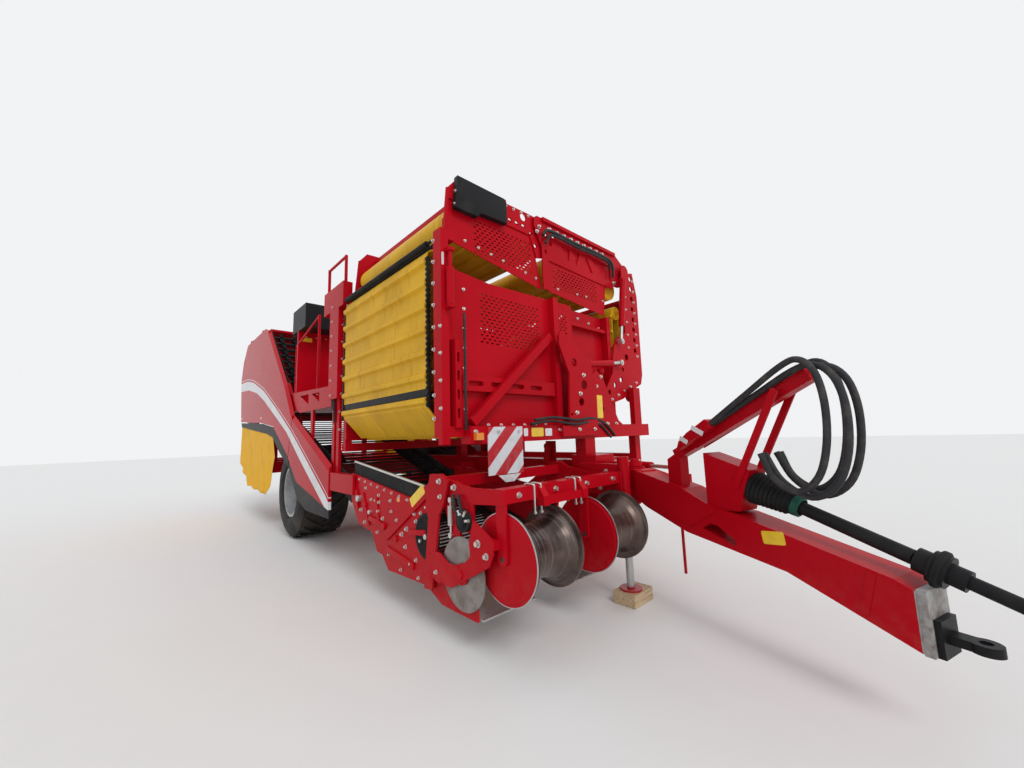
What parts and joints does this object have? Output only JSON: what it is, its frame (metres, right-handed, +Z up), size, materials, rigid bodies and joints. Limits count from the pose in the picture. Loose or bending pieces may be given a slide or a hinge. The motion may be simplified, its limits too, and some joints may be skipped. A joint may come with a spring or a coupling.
{
  "type": "trailed potato harvester",
  "caption": "Trailed potato harvester with a lifting digging unit, moving-floor bunker, folding unloading elevator and a steered drawbar standing on its jack.",
  "frame": {"origin": "on the ground, midway along the length and width of the machine", "axes": "+X to the machine's left, +Y to its rear, +Z up"},
  "size_m": [3.38, 12.16, 4.05],
  "materials": {
    "red": "gloss",
    "yellow_belt": "satin",
    "black": "satin",
    "rubber": "matte",
    "tyre": "matte",
    "rim": "satin",
    "cover": "gloss",
    "steel": "satin",
    "worn_iron": "worn",
    "wood": "raw",
    "curtain": "matte",
    "sign": "gloss",
    "lamp": "gloss"
  },
  "bodies": {
    "chassis": {"axle": "red", "main_frame": "red", "headstock": "red", "bunker_frame": "red", "bunker_front_wall": "red", "bunker_rear_wall": "red", "moving_floor": "yellow_belt", "floor_chains": "black", "belt_rollers": "rubber", "main_web": "rubber", "star_rollers": "rubber", "picking_platform": "red", "mast_frame": "red", "control_box": "black", "cover_right_front": "cover", "cover_left_front": "cover", "skirt_right": "rubber", "skirt_left": "rubber", "rear_hood": "cover", "curtain_right": "curtain", "curtain_left": "curtain", "jack_block": "wood", "sign_board": "sign", "lamps": "lamp"},
    "wheel_right": {"tyre_right": "tyre", "rim_right": "rim"},
    "wheel_left": {"tyre_left": "tyre", "rim_left": "rim"},
    "digger": {"digger_frame": "red", "digger_web": "rubber", "shares": "steel"},
    "ridge_roller_right": {"roller_right": "worn_iron"},
    "ridge_roller_left": {"roller_left": "worn_iron"},
    "disc_right": {"coulter_right": "steel"},
    "disc_left": {"coulter_left": "steel"},
    "lift_cylinder": {"lift_barrel": "red"},
    "lift_piston": {"lift_rod": "steel"},
    "drawbar": {"drawbar": "red", "towing_eye": "black", "pto_guard": "black", "hose_boom": "red", "hoses": "rubber"},
    "drive_shaft": {"pto_shaft": "black"},
    "steer_cylinder": {"steer_barrel": "red"},
    "steer_piston": {"steer_rod": "steel"},
    "jack_leg": {"jack": "steel"},
    "elevator_base": {"elevator_lower": "red", "elevator_belts": "yellow_belt"},
    "elevator_arm": {"elevator_upper": "red", "arm_sheets": "red", "arm_belt": "yellow_belt"},
    "elevator_end": {"elevator_tip": "red", "tip_sheets": "red", "tip_belt": "yellow_belt"},
    "swing_cylinder": {"swing_barrel": "red"},
    "swing_piston": {"swing_rod": "steel"},
    "arm_cylinder": {"arm_barrel": "red"},
    "arm_piston": {"arm_rod": "steel"},
    "cover_right": {"cover_right": "cover"},
    "cover_left": {"cover_left": "cover"}
  },
  "joints": [
    {"name": "wheel_right_turn", "type": "hinge", "parent": "chassis", "child": "wheel_right", "pos_m": [-1.235, 1.65, 0.745], "axis": [1, 0, 0], "continuous": true},
    {"name": "wheel_left_turn", "type": "hinge", "parent": "chassis", "child": "wheel_left", "pos_m": [1.235, 1.65, 0.745], "axis": [1, 0, 0], "continuous": true},
    {"name": "digger_lift", "type": "hinge", "parent": "chassis", "child": "digger", "pos_m": [-0.9, -1.15, 1], "axis": [1, 0, 0], "range_deg": [0, 10]},
    {"name": "ridge_roller_right_turn", "type": "hinge", "parent": "digger", "child": "ridge_roller_right", "pos_m": [-1.36, -3.72, 0.725], "axis": [1, 0, 0], "continuous": true},
    {"name": "ridge_roller_left_turn", "type": "hinge", "parent": "digger", "child": "ridge_roller_left", "pos_m": [-0.446, -3.72, 0.725], "axis": [1, 0, 0], "continuous": true},
    {"name": "disc_right_turn", "type": "hinge", "parent": "digger", "child": "disc_right", "pos_m": [-1.661, -3.3, 0.55], "axis": [1, 0, 0], "continuous": true},
    {"name": "disc_left_turn", "type": "hinge", "parent": "digger", "child": "disc_left", "pos_m": [-0.157, -3.3, 0.55], "axis": [1, 0, 0], "continuous": true},
    {"name": "lift_cylinder_swing", "type": "hinge", "parent": "chassis", "child": "lift_cylinder", "pos_m": [-0.06, -2.76, 1.42], "axis": [1, 0, 0], "range_deg": [-0.5, 2.04]},
    {"name": "lift_piston_slide", "type": "slide", "parent": "lift_cylinder", "child": "lift_piston", "axis": [0, 0.1498, -0.9887], "range_m": [-0.002, 0.2697]},
    {"name": "drawbar_steer", "type": "hinge", "parent": "chassis", "child": "drawbar", "pos_m": [0.22, -3.68, 1.06], "axis": [0, 0, 1], "range_deg": [-8, 40]},
    {"name": "drive_shaft_turn", "type": "hinge", "parent": "drawbar", "child": "drive_shaft", "pos_m": [-0.13962, -4.85625, 1.13], "axis": [-0.2767, -0.9052, -0.3227], "continuous": true},
    {"name": "steer_cylinder_swing", "type": "hinge", "parent": "chassis", "child": "steer_cylinder", "pos_m": [0.6, -3.18, 1.2], "axis": [0, 0, 1], "range_deg": [-3.8, 17.01]},
    {"name": "steer_piston_slide", "type": "slide", "parent": "steer_cylinder", "child": "steer_piston", "axis": [-0.3174, -0.9483, 0], "range_m": [-0.189, 0.0394]},
    {"name": "jack_slide", "type": "slide", "parent": "chassis", "child": "jack_leg", "axis": [0, 0, 1], "range_m": [0, 0.35]},
    {"name": "elevator_swing", "type": "hinge", "parent": "chassis", "child": "elevator_base", "pos_m": [1.32, -1.89, 2.05], "axis": [0, 1, 0], "range_deg": [0, 65]},
    {"name": "elevator_fold", "type": "hinge", "parent": "elevator_base", "child": "elevator_arm", "pos_m": [1.4, -1.89, 3.8], "axis": [0, 1, 0], "range_deg": [0, 115]},
    {"name": "elevator_droop", "type": "hinge", "parent": "elevator_arm", "child": "elevator_end", "pos_m": [-0.3, -1.89, 3.96], "axis": [0, 1, 0], "range_deg": [0, 40]},
    {"name": "swing_cylinder_swing", "type": "hinge", "parent": "chassis", "child": "swing_cylinder", "pos_m": [0.2, -3.095, 2.35], "axis": [0, 1, 0], "range_deg": [-0.5, 2.46]},
    {"name": "swing_piston_slide", "type": "slide", "parent": "swing_cylinder", "child": "swing_piston", "axis": [0.9932, 0, 0.1168], "range_m": [-0.002, 0.5193]},
    {"name": "arm_cylinder_swing", "type": "hinge", "parent": "elevator_arm", "child": "arm_cylinder", "pos_m": [1.24, -3.095, 3.61], "axis": [0, 1, 0], "range_deg": [-116, 0.5]},
    {"name": "arm_piston_slide", "type": "slide", "parent": "arm_cylinder", "child": "arm_piston", "axis": [-0.1589, 0, -0.9873], "range_m": [-0.002, 0.4209]},
    {"name": "cover_right_open", "type": "hinge", "parent": "chassis", "child": "cover_right", "pos_m": [-1.64, 4, 3.96], "axis": [0, 1, 0], "range_deg": [0, 70]},
    {"name": "cover_left_open", "type": "hinge", "parent": "chassis", "child": "cover_left", "pos_m": [1.64, 4, 3.96], "axis": [0, -1, 0], "range_deg": [0, 70]}
  ],
  "couplings": [
    {"joint": "lift_cylinder_swing", "follows": "digger_lift", "ratio": 0.15445},
    {"joint": "lift_piston_slide", "follows": "digger_lift", "m_per_rad": 1.5221},
    {"joint": "steer_cylinder_swing", "follows": "drawbar_steer", "ratio": 0.4128},
    {"joint": "steer_piston_slide", "follows": "drawbar_steer", "m_per_rad": -0.26786},
    {"joint": "swing_cylinder_swing", "follows": "elevator_swing", "ratio": 0.030123},
    {"joint": "swing_piston_slide", "follows": "elevator_swing", "m_per_rad": 0.45596},
    {"joint": "arm_cylinder_swing", "follows": "elevator_fold", "ratio": -1.0043},
    {"joint": "arm_piston_slide", "follows": "elevator_fold", "m_per_rad": 0.2087}
  ]
}
